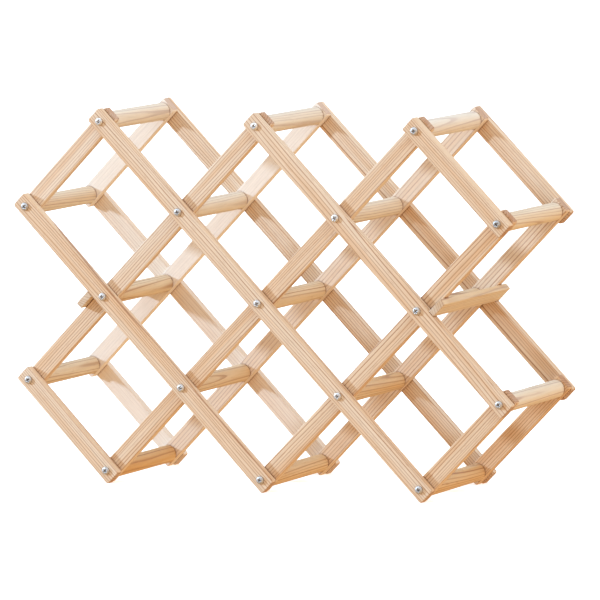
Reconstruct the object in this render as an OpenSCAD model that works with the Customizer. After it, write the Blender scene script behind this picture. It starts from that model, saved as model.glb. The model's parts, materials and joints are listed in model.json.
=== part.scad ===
// Folding wine rack: two pine scissor lattices, front and rear, joined by round dowels.
// Each lattice has falling slats outside and rising slats inside, and a screw through
// every crossing runs on into the end of a dowel, so the whole rack folds like an accordion.
// +X is to the right along the rack, +Y to the rear, +Z up. The origin is on the ground
// under the middle of the rack, with the rack open.

/* [Lattice] */
// Distance between neighbouring pivots along a slat
pivot_pitch = 104; // [85:1:130]
// Length of the dowels between the front and rear lattices
dowel_l = 93; // [70:1:130]
// Diameter of the dowels
dowel_d = 15; // [10:0.5:20]

/* [Slats] */
// Width of a slat
slat_w = 15; // [12:0.5:20]
// Thickness of a slat
slat_t = 7.5; // [5:0.5:12]
// Length of a slat beyond its end pivot
slat_over = 9; // [7:0.5:14]
// Radius of a slat's corners
corner_r = 2; // [0.5:0.5:4]
// Play between the outer and inner slats at a crossing
layer_gap = 0.1; // [0.05:0.05:0.3]

/* [Stop bars] */
// Width of a stop bar, up the slat that carries it
stop_w = 15; // [10:0.5:20]
// Thickness of a stop bar
stop_t = 6; // [4:0.5:8]
// Play between a stop bar and the slat that it stops
stop_gap = 0.15; // [0.05:0.05:0.5]
// Diameter of the nails that hold a stop bar
nail_d = 1.4; // [1:0.1:2]
// Diameter of a nail's head
nail_head_d = 2.6; // [2.2:0.1:4]
// Depth that a nail goes into the slat behind the bar
nail_bite = 8; // [5:0.5:11]

/* [Screws] */
// Diameter of a screw's shank
screw_d = 3.5; // [3:0.1:4.5]
// Radial play of a screw in the slats
screw_play = 0.08; // [0.02:0.01:0.1]
// Diameter of a screw's head
head_d = 6.6; // [5.5:0.1:9]
// Height of a screw's head
head_h = 2.2; // [1.8:0.1:3]
// Play under a screw's head
head_gap = 0.1; // [0.05:0.05:0.3]
// Depth that a screw goes into the end of a dowel
screw_bite = 20; // [12:1:30]
// Diameter of the pilot hole in a dowel's end
pilot_d = 2.6; // [2:0.1:2.9]

/* [Hidden] */

$fn = 64;
// The stop bars have square edges, so they hold the slats square to each other.
slat_angle = 45;
half_span = pivot_pitch * cos(slat_angle);
half_rise = pivot_pitch * sin(slat_angle);
// The lattice is a diagonal grid: pivots sit at columns -reach to reach and rows 0 to top_row.
reach = 3;
top_row = 4;
// The lowest row of pivots stands this high, on the rounded lower corners of the slats.
foot_rise = (slat_over - corner_r) * sin(slat_angle)
    + (slat_w / 2 - corner_r) * cos(slat_angle) + corner_r;

// Faces across the depth, from the middle of the rack to the front.
inner_front = dowel_l / 2 + slat_t;
outer_back = inner_front + layer_gap;
outer_front = outer_back + slat_t;

hole_d = screw_d + 2 * screw_play;
screw_l = outer_front + head_gap - dowel_l / 2 + screw_bite;
screw_tip = 5;
// The dome that rounds a screw's head, and the cross that drives it.
dome_r = 0.76 * head_d;
cross_l = 0.58 * head_d;
cross_w = 0.9;
cross_depth = 1.3;
nail_head_t = 0.8;

pine = [0.91, 0.77, 0.60];
pine_inner = [0.87, 0.70, 0.51];
pine_dowel = [0.93, 0.84, 0.71];
zinc = [0.78, 0.79, 0.81];
// The bottom middle pivot, about which the rack folds.
foot = [0, 0];

// Middle of a pivot, as x and z, from its column and row.
function pivot(at) = [at.x * half_span, at.y * half_rise + foot_rise];

// A falling slat holds the pivots whose column and row add up to the same number,
// and a rising slat those whose column less row is the same.
function falling_rows(sum) = [max(0, sum - reach), min(top_row, sum + reach)];
function rising_rows(diff) = [max(0, -reach - diff), min(top_row, reach - diff)];
function outer_sum(i) = 2 * i - top_row;
function inner_diff(i) = 2 * i - 2 * top_row;

// Stands a flat drawing up at x and z, turned by angle, with its face at the given depth
// in front of the middle and its body behind that face.
module stand(at, angle, front) {
    translate([at.x, -front, at.y])
        rotate([90, 0, 0])
            rotate([0, 0, angle])
                mirror([0, 0, 1])
                    children();
}

// Gives the rear copy of what is drawn in the front lattice.
module on_side(rear) {
    mirror([0, rear ? 1 : 0, 0])
        children();
}

module rounded_outline(length, width, r) {
    translate([r, -width / 2])
        square([length - 2 * r, width]);
    translate([0, r - width / 2])
        square([length, width - 2 * r]);
    for (x = [r, length - r], y = [r - width / 2, width / 2 - r])
        translate([x, y])
            circle(r);
}

// A slat with its first pivot at the origin and holes for all its screws.
module slat(steps) {
    linear_extrude(slat_t)
        difference() {
            translate([-slat_over, 0])
                rounded_outline(steps * pivot_pitch + 2 * slat_over, slat_w, corner_r);
            for (i = [0:steps])
                translate([i * pivot_pitch, 0])
                    circle(d = hole_d);
        }
}

module outer_slat(i, rear) {
    sum = outer_sum(i);
    rows = falling_rows(sum);
    color(pine)
        on_side(rear)
            stand(pivot([sum - rows[1], rows[1]]), -slat_angle, outer_front)
                slat(rows[1] - rows[0]);
}

module inner_slat(i, rear) {
    diff = inner_diff(i);
    rows = rising_rows(diff);
    color(pine_inner)
        on_side(rear)
            stand(pivot([diff + rows[0], rows[0]]), slat_angle, inner_front)
                slat(rows[1] - rows[0]);
}

// A dowel with a pilot hole in each end. The foot dowel turns against both of its slats,
// so it has play at its ends.
module dowel(at) {
    length = dowel_l - (at == foot ? 2 * layer_gap : 0);
    color(pine_dowel)
        stand(pivot(at), 0, length / 2)
            difference() {
                cylinder(d = dowel_d, h = length);
                for (end = [0, 1])
                    translate([0, 0, end * length])
                        mirror([0, 0, end])
                            translate([0, 0, -1])
                                cylinder(d = pilot_d, h = screw_bite + 1);
            }
}

// A pan-head screw, head first, pointing along Z, with the underside of its head at 0.
module screw() {
    difference() {
        intersection() {
            translate([0, 0, -head_h])
                cylinder(d = head_d, h = head_h);
            translate([0, 0, dome_r - head_h])
                sphere(dome_r, $fn = 96);
        }
        for (turn = [0, 90])
            rotate(turn)
                translate([-cross_l / 2, -cross_w / 2, -head_h - 1])
                    cube([cross_l, cross_w, cross_depth + 1]);
    }
    cylinder(d = screw_d, h = screw_l - screw_tip);
    translate([0, 0, screw_l - screw_tip])
        cylinder(d1 = screw_d, d2 = 0.4, h = screw_tip);
}

// The front and rear screws of one pivot.
module screw_pair(at) {
    for (rear = [false, true])
        on_side(rear)
            stand(pivot(at), 0, outer_front + head_gap)
                screw();
}

// The screws of all the dowels that turn with one pair of rising slats.
module screws_inner(i) {
    diff = inner_diff(i);
    rows = rising_rows(diff);
    color(zinc)
        for (row = [rows[0]:rows[1]])
            if ([diff + row, row] != foot)
                screw_pair([diff + row, row]);
}

// Puts what is drawn beside a stopped pivot, with X away from the rising slats'
// edge and Y up along them. The left bar is the right one turned half a turn.
module at_stop(side, front) {
    stand(pivot([side * (reach - 1), top_row / 2]), side < 0 ? 180 - slat_angle : -slat_angle,
        front)
        translate([slat_w / 2, slat_w / 2 + stop_gap, 0])
            children();
}

module stop_bar(side) {
    color(pine)
        difference() {
            at_stop(side, outer_front)
                cube([stop_t, stop_w, 2 * outer_front]);
            stop_nail_pair(side, nail_d, 0);
        }
}

// One nail through a stop bar into the edge of a rising slat, in the front and in the rear.
module stop_nail_pair(side, shank_d, bite) {
    for (rear = [false, true])
        at_stop(side, (rear ? -1 : 1) * (inner_front - slat_t / 2))
            translate([stop_t, stop_w / 2, 0])
                rotate([0, -90, 0]) {
                    cylinder(d = nail_head_d, h = nail_head_t);
                    cylinder(d = shank_d, h = stop_t + bite);
                }
}

module stop_nails(side) {
    color(zinc)
        stop_nail_pair(side, nail_d, nail_bite);
}

outer_slat(1, false);  // front_outer_slat_1
outer_slat(2, false);  // front_outer_slat_2
outer_slat(3, false);  // front_outer_slat_3
outer_slat(4, false);  // front_outer_slat_4
outer_slat(5, false);  // front_outer_slat_5
outer_slat(1, true);  // rear_outer_slat_1
outer_slat(2, true);  // rear_outer_slat_2
outer_slat(3, true);  // rear_outer_slat_3
outer_slat(4, true);  // rear_outer_slat_4
outer_slat(5, true);  // rear_outer_slat_5
inner_slat(1, false);  // front_inner_slat_1
inner_slat(2, false);  // front_inner_slat_2
inner_slat(3, false);  // front_inner_slat_3
inner_slat(4, false);  // front_inner_slat_4
inner_slat(5, false);  // front_inner_slat_5
inner_slat(1, true);  // rear_inner_slat_1
inner_slat(2, true);  // rear_inner_slat_2
inner_slat(3, true);  // rear_inner_slat_3
inner_slat(4, true);  // rear_inner_slat_4
inner_slat(5, true);  // rear_inner_slat_5
dowel([-2, 4]);  // dowel_a1
dowel([0, 4]);  // dowel_a2
dowel([2, 4]);  // dowel_a3
dowel([-3, 3]);  // dowel_b1
dowel([-1, 3]);  // dowel_b2
dowel([1, 3]);  // dowel_b3
dowel([3, 3]);  // dowel_b4
dowel([-2, 2]);  // dowel_c1
dowel([0, 2]);  // dowel_c2
dowel([2, 2]);  // dowel_c3
dowel([-3, 1]);  // dowel_d1
dowel([-1, 1]);  // dowel_d2
dowel([1, 1]);  // dowel_d3
dowel([3, 1]);  // dowel_d4
dowel([-2, 0]);  // dowel_e1
dowel(foot);  // dowel_e2
dowel([2, 0]);  // dowel_e3
stop_bar(-1);  // left_stop_bar
stop_bar(1);  // right_stop_bar
stop_nails(-1);  // left_stop_nails
stop_nails(1);  // right_stop_nails
screws_inner(1);  // screws_inner_1
screws_inner(2);  // screws_inner_2
screws_inner(3);  // screws_inner_3
screws_inner(4);  // screws_inner_4
screws_inner(5);  // screws_inner_5
color(zinc) screw_pair(foot);  // screws_foot
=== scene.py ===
import json
import math
import random

import bmesh
import bpy
from mathutils import Matrix, Vector


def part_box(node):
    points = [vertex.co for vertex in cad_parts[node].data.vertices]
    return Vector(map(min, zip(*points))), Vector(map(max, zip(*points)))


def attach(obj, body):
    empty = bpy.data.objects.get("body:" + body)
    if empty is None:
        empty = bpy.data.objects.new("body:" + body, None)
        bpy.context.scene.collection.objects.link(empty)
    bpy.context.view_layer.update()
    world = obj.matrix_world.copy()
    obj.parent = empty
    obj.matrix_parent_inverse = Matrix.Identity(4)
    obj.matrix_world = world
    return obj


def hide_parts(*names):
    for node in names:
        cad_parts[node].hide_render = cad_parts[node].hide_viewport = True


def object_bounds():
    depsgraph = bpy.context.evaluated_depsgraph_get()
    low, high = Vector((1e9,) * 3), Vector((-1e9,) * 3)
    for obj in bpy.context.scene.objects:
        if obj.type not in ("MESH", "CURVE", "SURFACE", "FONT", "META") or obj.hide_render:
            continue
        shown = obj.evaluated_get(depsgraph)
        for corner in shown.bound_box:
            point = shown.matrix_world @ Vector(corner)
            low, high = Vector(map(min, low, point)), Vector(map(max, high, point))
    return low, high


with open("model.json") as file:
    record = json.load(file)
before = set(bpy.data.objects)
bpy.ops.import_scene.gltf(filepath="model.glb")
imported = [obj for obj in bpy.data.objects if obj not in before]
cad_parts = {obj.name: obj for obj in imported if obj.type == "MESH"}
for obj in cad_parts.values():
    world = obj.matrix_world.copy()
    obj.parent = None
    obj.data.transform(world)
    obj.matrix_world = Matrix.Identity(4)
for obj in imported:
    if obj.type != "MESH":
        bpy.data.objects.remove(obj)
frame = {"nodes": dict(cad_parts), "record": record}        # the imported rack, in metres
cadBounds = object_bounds()
print("frame loaded:", len(frame["nodes"]), "nodes")

mm = 0.001
draw = random.Random(27)     # every random choice below comes from this one
bodies = frame["record"]["behaviour"]["bodies"]
bodyOf = {node: body for body, members in bodies.items() for node in members}


def linear(hexColour):
    channels = [int(hexColour[i:i + 2], 16) / 255 for i in (1, 3, 5)]
    lit = (c / 12.92 if c <= 0.04045 else ((c + 0.055) / 1.055) ** 2.4 for c in channels)
    return tuple(lit) + (1.0,)


def middle(node):
    low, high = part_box(node)
    return (low + high) / 2


def size(node):
    low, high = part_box(node)
    return high - low


# Adds one node. values fills its unlinked sockets, links joins its sockets to what feeds them,
# and stops are the places and colours of a ramp.
def addNode(tree, kind, values=None, links=None, stops=None, **settings):
    node = tree.nodes.new(kind)
    for name, value in settings.items():
        setattr(node, name, value)
    for socket, value in (values or {}).items():
        node.inputs[socket].default_value = value
    for socket, source in (links or {}).items():
        tree.links.new(source, node.inputs[socket])
    if stops:
        ramp = node.color_ramp
        while len(ramp.elements) < len(stops):
            ramp.elements.new(0.5)
        for element, (place, colour) in zip(ramp.elements, stops):
            element.position = place
            element.color = colour
    return node


def newMaterial(name):
    material = bpy.data.materials.new(name)
    material.use_nodes = True
    material.node_tree.nodes.clear()
    return material, material.node_tree


# Pine for every wooden piece: planed for the slats and bars, turned for the dowels.
# A pair of sizes is how far the pattern runs along the trunk, then across it.
pineLook = {
    "early": "#EAD4B8",          # wide pale springwood
    "late": "#A46C42",           # thin pinkish-brown summerwood line
    "honey": "#E0B483",          # warmer bands within a board
    "pale": "#F8EBDA",           # the palest pieces
    "palest": 0.85,              # and how much of that colour they take
    "warmTint": "#F6DFBE",       # multiplies the warmest pieces
    "endTint": "#CDB2A4",        # cut ends, where the fibres drink light
    "endDepth": 0.75,
    "joint": "#A56E40",          # painted shade: darkens the crevices where pieces meet
    "creviceShadeMm": 3.0,              # how far out of a crevice that reaches
    "creviceShadeAt": (0.66, 0.34),     # how open a place is where it starts, and where it is full
    "ringMm": 2.1,               # one year's growth
    # how dark the wood is at places through one year, from spring to the next spring
    "year": ((0.0, 0.08), (0.10, 0.0), (0.52, 0.03), (0.70, 0.16), (0.82, 0.85), (0.94, 1.0),
             (1.0, 0.08)),
    "faintestYear": 0.5,         # the weakest line, as a share of the strongest
    "seasonMm": 7.5,             # good and poor years follow each other over this much wood
    "seasonShiftMm": 2.6,        # and move the rings this far
    "bendMm": 2.2,               # how far the rings wander
    "bendSizeMm": (150, 26),
    "bandMm": (240, 9),
    "bandAt": (0.40, 0.68),
    "bandMost": 0.75,
    "fibreMm": (22, 1.2),        # real fibres are finer; this is as coarse as it needs to show
    "fibreShade": (0.92, 1.04),
    "fibreHeight": 0.5,          # in the relief, against the summerwood lines
    "ductMm": (9, 0.7),          # resin ducts: short dark dashes
    "ductAt": (0.66, 0.76),
    "ductMost": 0.35,
    "relief": 0.6,
    "roughness": (0.58, 0.42),   # springwood, summerwood
    "ior": 1.46,
}

# the dowels and bars come from yellower stock than the slats
dowelLook = dict(pineLook, early="#E8D6B7", honey="#DDB883", pale="#EEEAE3")


def acrossTheGrain(sizes):
    along, across = sizes
    return (1 / along, 1 / across, 1 / across)


# Bare pine: satin from the planer knives or the lathe, with rings that run through the wood as
# one solid figure, so the faces, edges and cut ends of each piece agree.
def pineMaterial(name, look, lateStrength, grooveMm):
    material, tree = newMaterial(name)
    place = addNode(tree, "ShaderNodeAttribute", attribute_name="logPlace").outputs["Vector"]
    tone = addNode(tree, "ShaderNodeAttribute", attribute_name="tone").outputs["Fac"]
    cutEnd = addNode(tree, "ShaderNodeAttribute", attribute_name="cutEnd").outputs["Fac"]

    # the rings: distance from the pith, bent a little along the trunk
    bendPlace = addNode(tree, "ShaderNodeVectorMath", {1: acrossTheGrain(look["bendSizeMm"])}, {0: place},
                        operation="MULTIPLY")
    bend = addNode(tree, "ShaderNodeTexNoise", {"Scale": 1.0, "Detail": 2.0, "Roughness": 0.45},
                   {"Vector": bendPlace.outputs[0]})
    fromPith = addNode(tree, "ShaderNodeVectorMath", {1: (0.0, 1.0, 1.0)}, {0: place},
                       operation="MULTIPLY")
    radius = addNode(tree, "ShaderNodeVectorMath", None, {0: fromPith.outputs[0]}, operation="LENGTH")
    bent = addNode(tree, "ShaderNodeMath", {1: look["bendMm"] * 2},
                   {0: bend.outputs["Fac"], 2: radius.outputs["Value"]}, operation="MULTIPLY_ADD")
    # good and poor years change the ring widths
    years = addNode(tree, "ShaderNodeMath", {1: 1 / look["seasonMm"]}, {0: bent.outputs[0]},
                    operation="MULTIPLY")
    yearNoise = addNode(tree, "ShaderNodeTexNoise", {"Scale": 1.0, "Detail": 1.0},
                        {"W": years.outputs[0]}, noise_dimensions="1D")
    uneven = addNode(tree, "ShaderNodeMath", {1: look["seasonShiftMm"]},
                     {0: yearNoise.outputs["Fac"], 2: bent.outputs[0]}, operation="MULTIPLY_ADD")
    rings = addNode(tree, "ShaderNodeMath", {1: 1 / look["ringMm"]}, {0: uneven.outputs[0]},
                    operation="MULTIPLY")
    inRing = addNode(tree, "ShaderNodeMath", None, {0: rings.outputs[0]}, operation="FRACT")
    late = addNode(tree, "ShaderNodeValToRGB", None, {"Fac": inRing.outputs[0]},
                   stops=[(when, (dark, dark, dark, 1)) for when, dark in look["year"]])
    # each year's line has its own strength
    yearIndex = addNode(tree, "ShaderNodeMath", None, {0: rings.outputs[0]}, operation="FLOOR")
    yearDepth = addNode(tree, "ShaderNodeTexWhiteNoise", None, {"W": yearIndex.outputs[0]},
                        noise_dimensions="1D")
    depth = addNode(tree, "ShaderNodeMapRange",
                    {"To Min": look["faintestYear"] * lateStrength, "To Max": lateStrength},
                    {"Value": yearDepth.outputs["Value"]})
    lateAmount = addNode(tree, "ShaderNodeMath", None, {0: late.outputs["Color"], 1: depth.outputs[0]},
                         operation="MULTIPLY")

    # broad warm bands, then fine fibres, both drawn out along the trunk
    bandPlace = addNode(tree, "ShaderNodeVectorMath", {1: acrossTheGrain(look["bandMm"])}, {0: place},
                        operation="MULTIPLY")
    band = addNode(tree, "ShaderNodeTexNoise", {"Scale": 1.0, "Detail": 3.0, "Roughness": 0.55},
                   {"Vector": bandPlace.outputs[0]})
    bandAmount = addNode(tree, "ShaderNodeMapRange",
                         {"From Min": look["bandAt"][0], "From Max": look["bandAt"][1],
                          "To Min": 0.0, "To Max": look["bandMost"]},
                         {"Value": band.outputs["Fac"]})
    fibrePlace = addNode(tree, "ShaderNodeVectorMath", {1: acrossTheGrain(look["fibreMm"])}, {0: place},
                         operation="MULTIPLY")
    fibre = addNode(tree, "ShaderNodeTexNoise", {"Scale": 1.0, "Detail": 4.0, "Roughness": 0.6},
                    {"Vector": fibrePlace.outputs[0]})
    ductPlace = addNode(tree, "ShaderNodeVectorMath", {1: acrossTheGrain(look["ductMm"])}, {0: place},
                        operation="MULTIPLY")
    duct = addNode(tree, "ShaderNodeTexNoise", {"Scale": 1.0, "Detail": 1.0},
                   {"Vector": ductPlace.outputs[0]})
    ductAmount = addNode(tree, "ShaderNodeMapRange",
                         {"From Min": look["ductAt"][0], "From Max": look["ductAt"][1],
                          "To Min": 0.0, "To Max": look["ductMost"]},
                         {"Value": duct.outputs["Fac"]})

    body = addNode(tree, "ShaderNodeMix", {6: linear(look["early"]), 7: linear(look["honey"])},
                   {0: bandAmount.outputs[0]}, data_type="RGBA")
    lined = addNode(tree, "ShaderNodeMix", {7: linear(look["late"])},
                    {0: lateAmount.outputs[0], 6: body.outputs[2]}, data_type="RGBA")
    ducted = addNode(tree, "ShaderNodeMix", {7: linear(look["late"])},
                     {0: ductAmount.outputs[0], 6: lined.outputs[2]}, data_type="RGBA")
    # each piece is paler or warmer than the next
    paleShare = addNode(tree, "ShaderNodeMapRange",
                        {"From Min": 0.0, "From Max": -1.0, "To Min": 0.0, "To Max": look["palest"]},
                        {"Value": tone})
    paled = addNode(tree, "ShaderNodeMix", {7: linear(look["pale"])},
                    {0: paleShare.outputs[0], 6: ducted.outputs[2]}, data_type="RGBA")
    warmShare = addNode(tree, "ShaderNodeMapRange",
                        {"From Min": 0.0, "From Max": 1.0, "To Min": 0.0, "To Max": 1.0},
                        {"Value": tone})
    warmTint = addNode(tree, "ShaderNodeMix", {0: 1.0, 7: linear(look["warmTint"])},
                       {6: paled.outputs[2]}, data_type="RGBA", blend_type="MULTIPLY")
    warmed = addNode(tree, "ShaderNodeMix", None,
                     {0: warmShare.outputs[0], 6: paled.outputs[2], 7: warmTint.outputs[2]},
                     data_type="RGBA")
    endShare = addNode(tree, "ShaderNodeMath", {1: look["endDepth"]}, {0: cutEnd}, operation="MULTIPLY")
    ended = addNode(tree, "ShaderNodeMix", {7: linear(look["endTint"])},
                    {0: endShare.outputs[0], 6: warmed.outputs[2]},
                    data_type="RGBA", blend_type="MULTIPLY")
    fibreShade = addNode(tree, "ShaderNodeMapRange",
                         {"From Min": 0.3, "From Max": 0.7,
                          "To Min": look["fibreShade"][0], "To Max": look["fibreShade"][1]},
                         {"Value": fibre.outputs["Fac"]})
    fibred = addNode(tree, "ShaderNodeVectorMath", None,
                     {0: ended.outputs[2], "Scale": fibreShade.outputs[0]}, operation="SCALE")
    # where two pieces meet, an ambient-occlusion mask darkens the colour to brown: painted shade in the
    # crevices
    joint = addNode(tree, "ShaderNodeAmbientOcclusion", {"Distance": look["creviceShadeMm"] * mm}, samples=6)
    creviceShadeShare = addNode(tree, "ShaderNodeMapRange",
                         {"From Min": look["creviceShadeAt"][0], "From Max": look["creviceShadeAt"][1],
                          "To Min": 0.0, "To Max": 1.0},
                         {"Value": joint.outputs["AO"]})
    colour = addNode(tree, "ShaderNodeMix", {7: linear(look["joint"])},
                     {0: creviceShadeShare.outputs[0], 6: fibred.outputs[0]},
                     data_type="RGBA", blend_type="MULTIPLY")

    # summerwood is harder and stands up from the planed face, and shines a little more
    fibreRise = addNode(tree, "ShaderNodeMath", {1: look["fibreHeight"]}, {0: fibre.outputs["Fac"]},
                        operation="MULTIPLY")
    rise = addNode(tree, "ShaderNodeMath", None, {0: fibreRise.outputs[0], 1: lateAmount.outputs[0]},
                   operation="ADD")
    bump = addNode(tree, "ShaderNodeBump", {"Strength": look["relief"], "Distance": grooveMm * mm},
                   {"Height": rise.outputs[0]})
    rough = addNode(tree, "ShaderNodeMapRange",
                    {"To Min": look["roughness"][0], "To Max": look["roughness"][1]},
                    {"Value": lateAmount.outputs[0]})
    shader = addNode(tree, "ShaderNodeBsdfPrincipled", {"IOR": look["ior"]},
                     {"Base Color": colour.outputs[2], "Roughness": rough.outputs[0],
                      "Normal": bump.outputs["Normal"]})
    addNode(tree, "ShaderNodeOutputMaterial", None, {"Surface": shader.outputs[0]})
    return material


# Bright zinc plate on steel: a grey mirror, softened by the plating's fine crystals.
zincLook = {
    "bright": "#E8E6E3",
    "dull": "#A09D9A",
    "crystalMm": 0.5,            # coarser than real ones, so that they show
    "crystalShare": 0.6,         # how much of the way from bright to dull the crystals make up
    "crystalRiseMm": 0.02,
    "roughness": (0.43, 0.64),   # where bright, where dull
}


def zincMaterial(name, look):
    material, tree = newMaterial(name)
    spot = addNode(tree, "ShaderNodeTexCoord")
    tone = addNode(tree, "ShaderNodeAttribute", attribute_name="tone").outputs["Fac"]
    crystals = addNode(tree, "ShaderNodeTexNoise",
                       {"Scale": 1 / (look["crystalMm"] * mm), "Detail": 3.0, "Roughness": 0.6},
                       {"Vector": spot.outputs["Object"]})
    mixAmount = addNode(tree, "ShaderNodeMath", {1: look["crystalShare"]},
                        {0: crystals.outputs["Fac"], 2: tone}, operation="MULTIPLY_ADD")
    colour = addNode(tree, "ShaderNodeMix", {6: linear(look["bright"]), 7: linear(look["dull"])},
                     {0: mixAmount.outputs[0]}, data_type="RGBA")
    rough = addNode(tree, "ShaderNodeMapRange",
                    {"To Min": look["roughness"][0], "To Max": look["roughness"][1]},
                    {"Value": mixAmount.outputs[0]})
    bump = addNode(tree, "ShaderNodeBump", {"Strength": 0.25, "Distance": look["crystalRiseMm"] * mm},
                   {"Height": crystals.outputs["Fac"]})
    shader = addNode(tree, "ShaderNodeBsdfPrincipled", {"Metallic": 1.0},
                     {"Base Color": colour.outputs[2], "Roughness": rough.outputs[0],
                      "Normal": bump.outputs["Normal"]})
    addNode(tree, "ShaderNodeOutputMaterial", None, {"Surface": shader.outputs[0]})
    return material


# lateStrength is how strongly the summerwood shows, grooveMm how deep the relief of the grain is
slatPine = pineMaterial("planed pine slats", pineLook, lateStrength=1.0, grooveMm=0.10)
dowelPine = pineMaterial("turned pine dowels", dowelLook, lateStrength=1.0, grooveMm=0.06)
barPine = pineMaterial("planed pine stop bars", dowelLook, lateStrength=0.9, grooveMm=0.10)
zinc = zincMaterial("zinc-plated steel", zincLook)
print("materials made")


# how finely curved edges are drawn
facets = {
    "arris": 3,
    "corner": 6,
    "bore": 20,
    "dowel": 48,
    "screw": 40,
    "dome": 7,
    "nail": 24,
}


def roundedRing(length, width, corner, inset, steps):
    points = []
    a, b, r = length / 2 - corner, width / 2 - corner, corner - inset
    for quarter, (x, y) in enumerate(((a, b), (-a, b), (-a, -b), (a, -b))):
        for k in range(steps + 1):
            turn = math.radians(90) * (quarter + k / steps)
            points.append((x + r * math.cos(turn), y + r * math.sin(turn)))
    return points


def circleRing(centre, radius, steps):
    return [(centre + radius * math.cos(math.tau * k / steps), radius * math.sin(math.tau * k / steps))
            for k in range(steps)]


def stitch(mesh, rings, flip=False):
    for lower, upper in zip(rings, rings[1:]):
        for k in range(len(lower)):
            n = (k + 1) % len(lower)
            corners = [lower[k], lower[n], upper[n], upper[k]]
            mesh.faces.new(corners[::-1] if flip else corners)


# A flat board with rounded corners, eased arrises and bored holes, lying in XY and centred on Z.
def boardMesh(length, width, thickness, corner, arris, holes, holeRadius):
    mouthEase = 0.3      # a bore's edge is eased this share of the arris
    mesh = bmesh.new()
    levels = []
    for k in range(facets["arris"] + 1):
        turn = math.radians(90) * k / facets["arris"]
        levels.append((arris * (1 - math.sin(turn)), -thickness / 2 + arris * (1 - math.cos(turn))))
    levels += [(inset, -z) for inset, z in reversed(levels)]
    rings = [[mesh.verts.new((x, y, z))
              for x, y in roundedRing(length, width, corner, inset, facets["corner"])]
             for inset, z in levels]
    stitch(mesh, rings)
    loops = [rings]
    for centre in holes:
        bore = [[mesh.verts.new((x, y, z))
                 for x, y in circleRing(centre, holeRadius + inset * mouthEase, facets["bore"])]
                for inset, z in levels]
        stitch(mesh, bore, flip=True)
        loops.append(bore)
    for level in (0, -1):
        edges = []
        for loop in loops:
            ring = loop[level]
            edges += [mesh.edges.get((ring[k], ring[(k + 1) % len(ring)])) for k in range(len(ring))]
        bmesh.ops.triangle_fill(mesh, use_beauty=True, use_dissolve=False, edges=edges)
    bmesh.ops.recalc_face_normals(mesh, faces=mesh.faces)
    return mesh


# Turns a profile of (radius, height) points about Z. A zero radius closes the form with one point.
def latheMesh(profile, steps):
    mesh = bmesh.new()
    rings = []
    for radius, height in profile:
        if radius == 0:
            rings.append([mesh.verts.new((0, 0, height))])
        else:
            rings.append([mesh.verts.new((radius * math.cos(math.tau * k / steps),
                                          radius * math.sin(math.tau * k / steps), height))
                          for k in range(steps)])
    for lower, upper in zip(rings, rings[1:]):
        for k in range(steps):
            n = (k + 1) % steps
            corners = [lower[k % len(lower)], lower[n % len(lower)],
                       upper[n % len(upper)], upper[k % len(upper)]]
            mesh.faces.new(list(dict.fromkeys(corners)))
    bmesh.ops.recalc_face_normals(mesh, faces=mesh.faces)
    return mesh


# Makes the object from a mesh drawn about the origin, puts it in place, gives it its finish
# and lets it ride on its body.
def makePiece(name, mesh, placing, material, node, attributes):
    data = bpy.data.meshes.new(name)
    mesh.to_mesh(data)
    mesh.free()
    for key, (kind, values) in attributes.items():
        layer = data.attributes.new(key, kind, "POINT")
        if kind == "FLOAT_VECTOR":
            layer.data.foreach_set("vector", [c for v in values for c in v])
        else:
            layer.data.foreach_set("value", values)
    data.transform(placing)
    data.polygons.foreach_set("use_smooth", [True] * len(data.polygons))
    data.materials.append(material)
    piece = bpy.data.objects.new(name, data)
    bpy.context.scene.collection.objects.link(piece)
    weighted = piece.modifiers.new("flat faces stay flat", "WEIGHTED_NORMAL")
    weighted.weight = 100
    weighted.keep_sharp = True
    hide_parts(node)
    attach(piece, bodyOf[node])


trunkMm = 4000               # the pieces are cut from anywhere in this length
endZone = 0.4 * mm           # a piece looks like a cut end this near to it


# Where each vertex of a piece sat in the trunk, in mm. The piece's length runs along X.
# ringTurn is the angle from the width to the way the rings are stacked: small gives straight lines
# on the face, a right angle gives arched figure. slope is how far the grain runs out along the length.
def inTheLog(points, fromPith, ringTurn, slope, skew):
    start = draw.uniform(0, trunkMm)
    turn = math.radians(ringTurn)
    places = []
    for p in points:
        u, v, w = (c / mm for c in p)
        stacked = v * math.cos(turn) + w * math.sin(turn)
        across = -v * math.sin(turn) + w * math.cos(turn)
        places.append((start + u, fromPith + stacked + slope * u, across + skew * u))
    return places


def woodAttributes(mesh, length, tone, log, endShade=1.0):
    points = [v.co.copy() for v in mesh.verts]
    return {
        "logPlace": ("FLOAT_VECTOR", inTheLog(points, **log)),
        "tone": ("FLOAT", [tone] * len(points)),
        "cutEnd": ("FLOAT", [endShade if abs(p.x) > length / 2 - endZone else 0.0 for p in points]),
    }


slatSpec = {
    "width": 15 * mm,
    "corner": 2 * mm,
    "arris": (0.5 * mm, 0.85 * mm),
    "holeRadius": 1.83 * mm,
    # how pale (-1) or warm (+1) the five slats of each row are, from the left end of the rack
    "tones": {
        "front_outer": (0.00, 0.05, 0.05, 0.05, 0.25),
        "front_inner": (-0.20, -0.05, 0.05, 0.30, 0.35),
        "rear_inner": (-1.00, -1.00, -0.40, -0.05, 0.65),
        "rear_outer": (-1.00, -0.60, 0.00, 0.00, 0.05),
    },
    # how the slats were sawn: mostly straight grain
    "log": {"fromPith": (45, 120), "ringTurn": (-38, 38), "slope": (-0.012, 0.012),
            "skew": (-0.03, 0.03)},
    # the slats with arched figure
    "arched": {
        "front_outer_slat_4": {"fromPith": 44, "ringTurn": 46, "slope": 0.020},
        "rear_inner_slat_3": {"fromPith": 34, "ringTurn": 50, "slope": 0.014},
    },
}

dowels = sorted(n for n in frame["nodes"] if n.startswith("dowel_"))


def pickLog(ranges):
    return {key: draw.uniform(*span) for key, span in ranges.items()}


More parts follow.
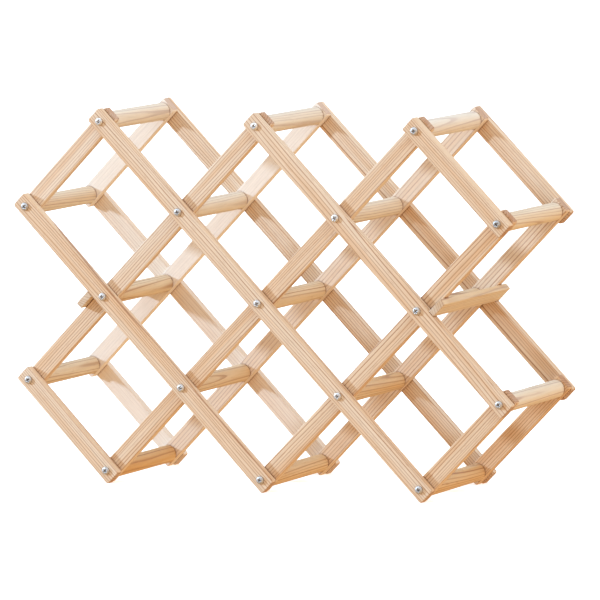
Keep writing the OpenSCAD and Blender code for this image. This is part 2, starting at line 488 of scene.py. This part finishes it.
# The places along a slat where a dowel stands behind it.
def slatPivots(node, direction):
    offLine = 1 * mm
    centre = middle(node)
    reachable = size(node).x
    places = []
    for dowel in dowels:
        away = middle(dowel) - centre
        away.y = 0
        along = away.dot(direction)
        if (away - direction * along).length < offLine and abs(along) < reachable:
            places.append(along)
    return sorted(places)


def makeSlat(node):
    outer = "outer" in node
    direction = Vector((1, 0, -1 if outer else 1)).normalized()     # along the slat
    upward = Vector((1, 0, 1 if outer else -1)).normalized()        # to its right-hand edge
    extent = size(node)
    corner, width = slatSpec["corner"], slatSpec["width"]
    # the length, worked back from the box of a slat that lies at 45 degrees
    slant = math.sqrt(0.5)
    length = (extent.x - 2 * corner - (width - 2 * corner) * slant) / slant + 2 * corner
    arris = draw.uniform(*slatSpec["arris"])
    mesh = boardMesh(length, width, extent.y, corner, arris, slatPivots(node, direction),
                     slatSpec["holeRadius"])
    row, number = node.split("_slat_")
    tone = slatSpec["tones"][row][int(number) - 1]
    log = pickLog(slatSpec["log"])
    log.update(slatSpec["arched"].get(node, {}))
    attributes = woodAttributes(mesh, length, tone, log)
    placing = Matrix.Identity(4)
    for column, axis in enumerate((direction, upward, direction.cross(upward))):
        placing.col[column][:3] = axis
    placing.translation = middle(node)
    makePiece("pine_" + node, mesh, placing, slatPine, node, attributes)


for node in sorted(frame["nodes"]):
    if "_slat_" in node:
        makeSlat(node)
print("slats made")


dowelSpec = {
    "arris": 0.6 * mm,
    "bore": (1.3 * mm, 20 * mm),     # radius and depth of the pilot hole in each end
    "boreEase": 0.2 * mm,
    "spans": 10,                     # rings along the length
    "log": {"fromPith": (18, 70), "ringTurn": (0, 360), "slope": (-0.03, 0.03), "skew": (-0.03, 0.03)},
    # pale (-1) or warm (+1), by row from the top and by place from the left
    "tones": {
        "a1": -0.45, "a2": -0.45, "a3": -0.60,
        "b1": -0.25, "b2": -0.35, "b3": -0.30, "b4": -0.20,
        "c1": 0.15, "c2": 0.30, "c3": 0.10,
        "d1": -0.05, "d2": 0.30, "d3": 0.45, "d4": -0.30,
        "e1": 1.00, "e2": 0.70, "e3": 0.75,
    },
}


def makeDowel(node):
    extent = size(node)
    length, radius, arris = extent.y, extent.x / 2, dowelSpec["arris"]
    boreRadius, boreDepth = dowelSpec["bore"]
    half = length / 2
    ease, spans = dowelSpec["boreEase"], dowelSpec["spans"]
    edge = [(radius - arris * (1 - math.sin(t)), half - arris * (1 - math.cos(t)))
            for t in (0, math.radians(30), math.radians(60), math.radians(90))]
    middleRings = [(radius, (half - arris) * (1 - 2 * k / spans)) for k in range(1, spans)]
    bore = [(0, half - boreDepth - boreRadius / 2), (boreRadius, half - boreDepth),
            (boreRadius, half - ease), (boreRadius + ease, half)]
    profile = bore + edge + middleRings
    profile += [(r, -h) for r, h in reversed(bore + edge)]
    mesh = latheMesh(profile, facets["dowel"])
    mesh.transform(Matrix.Rotation(math.radians(90), 4, "Y"))     # its length along X, as for the slats
    log = pickLog(dowelSpec["log"])
    attributes = woodAttributes(mesh, length, dowelSpec["tones"][node[-2:]], log)
    placing = Matrix.Translation(middle(node)) @ Matrix.Rotation(math.radians(90), 4, "Z")
    makePiece("pine_" + node, mesh, placing, dowelPine, node, attributes)


for node in dowels:
    makeDowel(node)
print("dowels made")


barSpec = {
    "width": 15 * mm,
    "thickness": 6 * mm,
    "corner": 0.8 * mm,
    "arris": 0.55 * mm,
    "nailHole": 0.72 * mm,        # its radius
    "nailFrom": 50.25 * mm,       # from the middle of the rack to each nail
    "log": {"fromPith": 60, "slope": 0.01, "skew": 0.02},
    "ringTurn": (-30, 30),
    "tones": {"left": -0.20, "right": -0.15},
    "endShade": 0.45,             # the bars' ends are less dark than the slats'
}


# Across a bar's thickness, from the rising slat it is nailed to. Its width runs up that slat.
def barOutward(node):
    return Vector((1, 0, -1)).normalized() * (-1 if node.startswith("left") else 1)


def makeBar(node):
    length = size(node).y
    mesh = boardMesh(length, barSpec["width"], barSpec["thickness"], barSpec["corner"], barSpec["arris"],
                     (-barSpec["nailFrom"], barSpec["nailFrom"]), barSpec["nailHole"])
    log = dict(barSpec["log"], ringTurn=draw.uniform(*barSpec["ringTurn"]))
    tone = barSpec["tones"][node.split("_")[0]]
    attributes = woodAttributes(mesh, length, tone, log, barSpec["endShade"])
    outward = barOutward(node)
    along = Vector((0, 1, 0))
    placing = Matrix.Identity(4)
    for column, axis in enumerate((along, outward.cross(along), outward)):
        placing.col[column][:3] = axis
    placing.translation = middle(node)
    makePiece("pine_" + node, mesh, placing, barPine, node, attributes)


for node in ("left_stop_bar", "right_stop_bar"):
    makeBar(node)
print("stop bars made")


# Pan-head screws, one in each end of each dowel.
screwSpec = {
    "headRadius": 3.3 * mm,
    "headHeight": 2.2 * mm,
    "rim": 0.7 * mm,              # height of the head's steep side
    "sideCurve": 0.55,            # 1 is round, less is squarer
    "topCurve": 0.85,
    "underEdge": 0.15 * mm,       # bevel under the head
    "shankRadius": 1.75 * mm,
    "tip": 5 * mm,
    "point": (0.2 * mm, 0.3 * mm),    # radius and height of the blunt point
    "length": 35.2 * mm,          # under the head
    "crossLength": 3.8 * mm,
    "crossWidth": 1.05 * mm,
    "crossDepth": 1.5 * mm,
    "taper": 0.45,                # the cross's length at its floor, as a share of its mouth
    "wallTaper": 0.65,            # how much of that taper its width follows
    "overcut": 0.3 * mm,          # the cutter stands this far above the head
    "shades": (-0.35, 0.35),      # from the brightest screw to the dullest
    "recessShade": 0.5,                 # painted shade: added darkness on the floor of the cross
}


# One wing of the cross, as a tapered block that is cut from the head.
def crossWing(mesh, turn, spec):
    top, bottom = spec["headHeight"] + spec["overcut"], spec["headHeight"] - spec["crossDepth"]
    rings = []
    for height, share in ((bottom, spec["taper"]), (top, 1.0)):
        a = spec["crossLength"] / 2 * share
        b = spec["crossWidth"] / 2 * (1 - spec["wallTaper"] + spec["wallTaper"] * share)
        ring = [Vector((x, y, height)) for x, y in ((a, b), (-a, b), (-a, -b), (a, -b))]
        rings.append([mesh.verts.new(Matrix.Rotation(turn, 3, "Z") @ p) for p in ring])
    stitch(mesh, rings)
    mesh.faces.new(rings[0][::-1])
    mesh.faces.new(rings[1])


def makeScrewMesh(spec):
    dome = []
    rimAt, topAt, steps = spec["rim"], spec["headHeight"], facets["dome"]
    for k in range(steps + 1):
        turn = math.radians(90) * k / steps
        dome.append((spec["headRadius"] * math.cos(turn) ** spec["sideCurve"] if k < steps else 0,
                     rimAt + (topAt - rimAt) * math.sin(turn) ** spec["topCurve"]))
    pointRadius, pointHeight = spec["point"]
    bevel = spec["underEdge"]
    profile = ([(0, -spec["length"]), (pointRadius, -spec["length"] + pointHeight),
                (spec["shankRadius"], -spec["length"] + spec["tip"]), (spec["shankRadius"], 0),
                (spec["headRadius"] - bevel, 0), (spec["headRadius"], bevel)] + dome)
    solid = latheMesh(profile, facets["screw"])
    head = bpy.data.meshes.new("screw blank")
    solid.to_mesh(head)
    solid.free()
    blank = bpy.data.objects.new("screw_blank", head)
    cutters = []
    for turn in (0, math.radians(90)):
        wing = bmesh.new()
        crossWing(wing, turn, spec)
        bmesh.ops.recalc_face_normals(wing, faces=wing.faces)
        data = bpy.data.meshes.new("wing")
        wing.to_mesh(data)
        wing.free()
        cutters.append(bpy.data.objects.new("wing", data))
    for item in [blank] + cutters:
        bpy.context.scene.collection.objects.link(item)
    for cutter in cutters:
        cut = blank.modifiers.new("cross", "BOOLEAN")
        cut.operation, cut.solver, cut.object = "DIFFERENCE", "EXACT", cutter
    bpy.context.view_layer.update()
    shaped = bpy.data.meshes.new_from_object(blank.evaluated_get(bpy.context.evaluated_depsgraph_get()))
    for item in [blank] + cutters:
        bpy.data.objects.remove(item)
    return shaped


# Whether a place is on the floor of the cross, which is darkened as painted shade.
def inCross(place):
    floorAt, near = screwSpec["headHeight"] - screwSpec["crossDepth"], 0.05 * mm
    return abs(place.z - floorAt) < near and place.xy.length < screwSpec["crossLength"] / 2


# Joins copies of one mesh, each at its own placing and with its own tone, into one piece.
def makeHardware(name, base, placings, node):
    mesh = bmesh.new()
    # the floor of each cross is made darker: painted shade in the recess
    recessShades = [screwSpec["recessShade"] if inCross(v.co) else 0.0 for v in base.vertices]
    tones = []
    for placing in placings:
        first = len(mesh.verts)
        mesh.from_mesh(base)
        mesh.verts.ensure_lookup_table()
        bmesh.ops.transform(mesh, matrix=placing, verts=mesh.verts[first:])
        dullness = draw.uniform(*screwSpec["shades"])
        tones += [dullness + recessShade for recessShade in recessShades]
    makePiece(name, mesh, Matrix.Identity(4), zinc, node, {"tone": ("FLOAT", tones)})


screwMesh = makeScrewMesh(screwSpec)
for node in sorted(n for n in frame["nodes"] if n.startswith("screws_")):
    headTop = size(node).y / 2
    placings = []
    for dowel in dowels:
        if bodyOf[dowel] != bodyOf[node]:
            continue
        for side in (-1, 1):
            seat = middle(dowel)
            seat.y = side * (headTop - screwSpec["headHeight"])
            outward = Matrix.Rotation(math.radians(-90 * side), 4, "X")
            spin = Matrix.Rotation(draw.uniform(0, math.radians(90)), 4, "Z")
            placings.append(Matrix.Translation(seat) @ outward @ spin)
    makeHardware("zinc_" + node, screwMesh, placings, node)

# Lost-head nails, two in each stop bar.
nailSpec = {
    "headRadius": 0.95 * mm,
    "headProud": 0.02 * mm,
    "headHeight": 0.8 * mm,
    "headSide": (0.2 * mm, 0.05 * mm),     # depths where its straight side starts and ends
    "headFlat": 0.9,                       # its flat top, as a share of its radius
    "shankRadius": 0.7 * mm,
    "point": 1.6 * mm,
    "length": 14 * mm,
}
sideLow, sideHigh = nailSpec["headSide"]
nailProfile = [(0, -nailSpec["length"]),
               (nailSpec["shankRadius"], -nailSpec["length"] + nailSpec["point"]),
               (nailSpec["shankRadius"], -nailSpec["headHeight"]),
               (nailSpec["headRadius"], -sideLow), (nailSpec["headRadius"], -sideHigh),
               (nailSpec["headRadius"] * nailSpec["headFlat"], 0), (0, nailSpec["headProud"])]
nailBlank = latheMesh(nailProfile, facets["nail"])
nailMesh = bpy.data.meshes.new("nail")
nailBlank.to_mesh(nailMesh)
nailBlank.free()
for side in ("left", "right"):
    bar = side + "_stop_bar"
    outward = barOutward(bar)
    placings = []
    for end in (-1, 1):
        seat = middle(bar) + outward * barSpec["thickness"] / 2
        seat.y = end * barSpec["nailFrom"]
        placings.append(Matrix.Translation(seat) @ outward.to_track_quat("Z", "Y").to_matrix().to_4x4())
    makeHardware("zinc_" + side + "_stop_nails", nailMesh, placings, side + "_stop_nails")
print("screws and nails made")


# A pale floor, a soft surround and two soft lamps.
studio = {
    "floor": "#F6F5F3",
    "floorGlow": 0.66,
    "floorReach": 12.0,
    "backdrop": "#FFFFFF",           # what stands behind the rack when the eye is low
    "above": ("#F1F7FF", 1.40),      # cool white ceiling and walls
    "below": ("#F2CA97", 1.30),      # warm light thrown back from below
    "horizon": (-0.25, 0.45),        # heights between which one turns into the other
    "leftAndRight": (0.42, 0.98),    # the surround's strength on each side
    # degrees to the left, degrees up, distance and width in metres, watts, colour
    "lamps": {
        "key lamp": (62.0, 18.0, 8.0, 0.60, 650, "#B8DBFF"),
        "overhead lamp": (10.0, 80.0, 2.4, 1.2, 14, "#E2EEFF"),
    },
}

floorMaterial, tree = newMaterial("pale studio paper")
grit = addNode(tree, "ShaderNodeTexNoise", {"Scale": 600.0, "Detail": 2.0},
               {"Vector": addNode(tree, "ShaderNodeTexCoord").outputs["Object"]})
paperBump = addNode(tree, "ShaderNodeBump", {"Strength": 0.05, "Distance": 0.1 * mm},
                    {"Height": grit.outputs["Fac"]})
paper = addNode(tree, "ShaderNodeBsdfPrincipled",
                {"Base Color": linear(studio["floor"]), "Roughness": 0.85, "Specular IOR Level": 0.2,
                 "Emission Color": linear(studio["floor"]), "Emission Strength": studio["floorGlow"]},
                {"Normal": paperBump.outputs["Normal"]})
addNode(tree, "ShaderNodeOutputMaterial", None, {"Surface": paper.outputs[0]})

floorMesh = bpy.data.meshes.new("floor")
reach, low = studio["floorReach"], cadBounds[0].z
floorCorners = [(-reach, -reach, low), (reach, -reach, low), (reach, reach, low), (-reach, reach, low)]
floorMesh.from_pydata(floorCorners, [], [(0, 1, 2, 3)])
floorMesh.materials.append(floorMaterial)
floor = bpy.data.objects.new("floor", floorMesh)
bpy.context.scene.collection.objects.link(floor)
# the floor takes shadows but throws no light back: the lower half of the surround does that
floor.visible_diffuse = floor.visible_glossy = floor.visible_shadow = False

world = bpy.data.worlds.new("white surround")
world.use_nodes = True
world.node_tree.nodes.clear()
tree = world.node_tree
facing = addNode(tree, "ShaderNodeSeparateXYZ", None,
                 {0: addNode(tree, "ShaderNodeTexCoord").outputs["Generated"]})
height = addNode(tree, "ShaderNodeMapRange",
                 {"From Min": studio["horizon"][0], "From Max": studio["horizon"][1]},
                 {"Value": facing.outputs["Z"]}, interpolation_type="SMOOTHSTEP")
sides = addNode(tree, "ShaderNodeMapRange",
                {"From Min": -1.0, "From Max": 1.0,
                 "To Min": studio["leftAndRight"][0], "To Max": studio["leftAndRight"][1]},
                {"Value": facing.outputs["X"]})


def scaled(colourAndStrength):
    colour, strength = colourAndStrength
    return tuple(c * strength for c in linear(colour)[:3]) + (1,)


glow = addNode(tree, "ShaderNodeMix", {6: scaled(studio["below"]), 7: scaled(studio["above"])},
               {0: height.outputs[0]}, data_type="RGBA")
surround = addNode(tree, "ShaderNodeBackground", None,
                   {"Color": glow.outputs[2], "Strength": sides.outputs[0]})
# the surround lights the rack, and the eye sees a plain backdrop in its place
backdrop = addNode(tree, "ShaderNodeBackground",
                   {"Color": linear(studio["backdrop"]), "Strength": 1.0})
seen = addNode(tree, "ShaderNodeLightPath").outputs["Is Camera Ray"]
shown = addNode(tree, "ShaderNodeMixShader", None,
                {0: seen, 1: surround.outputs[0], 2: backdrop.outputs[0]})
addNode(tree, "ShaderNodeOutputWorld", None, {"Surface": shown.outputs[0]})
bpy.context.scene.world = world

centre = (cadBounds[0] + cadBounds[1]) / 2
for name, (leftTurn, lift, distance, width, watts, colour) in studio["lamps"].items():
    lamp = bpy.data.lights.new(name, "AREA")
    lamp.shape, lamp.size = "SQUARE", width
    lamp.energy, lamp.color = watts, linear(colour)[:3]
    holder = bpy.data.objects.new(name, lamp)
    bpy.context.scene.collection.objects.link(holder)
    side, rise = math.radians(leftTurn), math.radians(lift)
    away = Vector((-math.sin(side) * math.cos(rise), -math.cos(side) * math.cos(rise), math.sin(rise)))
    holder.location = centre + away * distance
    holder.rotation_euler = away.to_track_quat("Z", "Y").to_euler()

viewpoint = {
    "turn": 27.858,          # degrees to the right of straight on
    "lift": 6.609,           # degrees above the level
    "roll": -0.894,
    "distance": 4.8088,      # metres from the middle of the front
    "lens": 350.8,
    "aside": (0.0397, 0.0, 0.0048),      # metres by which the eye is moved without turning it
}
turn, lift = math.radians(viewpoint["turn"]), math.radians(viewpoint["lift"])
back = Vector((math.sin(turn) * math.cos(lift), -math.cos(turn) * math.cos(lift), math.sin(lift)))
aim = middle("dowel_c2")
aim.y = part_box("front_outer_slat_3")[0].y
right = Vector((0, 0, 1)).cross(back).normalized()
up = back.cross(right)
roll = math.radians(viewpoint["roll"])
rolledRight = right * math.cos(roll) + up * math.sin(roll)
rolledUp = up * math.cos(roll) - right * math.sin(roll)
cameraData = bpy.data.cameras.new("camera")
cameraData.lens, cameraData.sensor_width = viewpoint["lens"], 36
cameraData.clip_start, cameraData.clip_end = 0.1, 50
camera = bpy.data.objects.new("camera", cameraData)
bpy.context.scene.collection.objects.link(camera)
placing = Matrix.Identity(4)
for column, axis in enumerate((rolledRight, rolledUp, back)):
    placing.col[column][:3] = axis
placing.translation = aim + back * viewpoint["distance"] + Vector(viewpoint["aside"])
camera.matrix_world = placing
bpy.context.scene.camera = camera
bpy.context.scene.view_settings.view_transform = "Standard"
print("studio set")
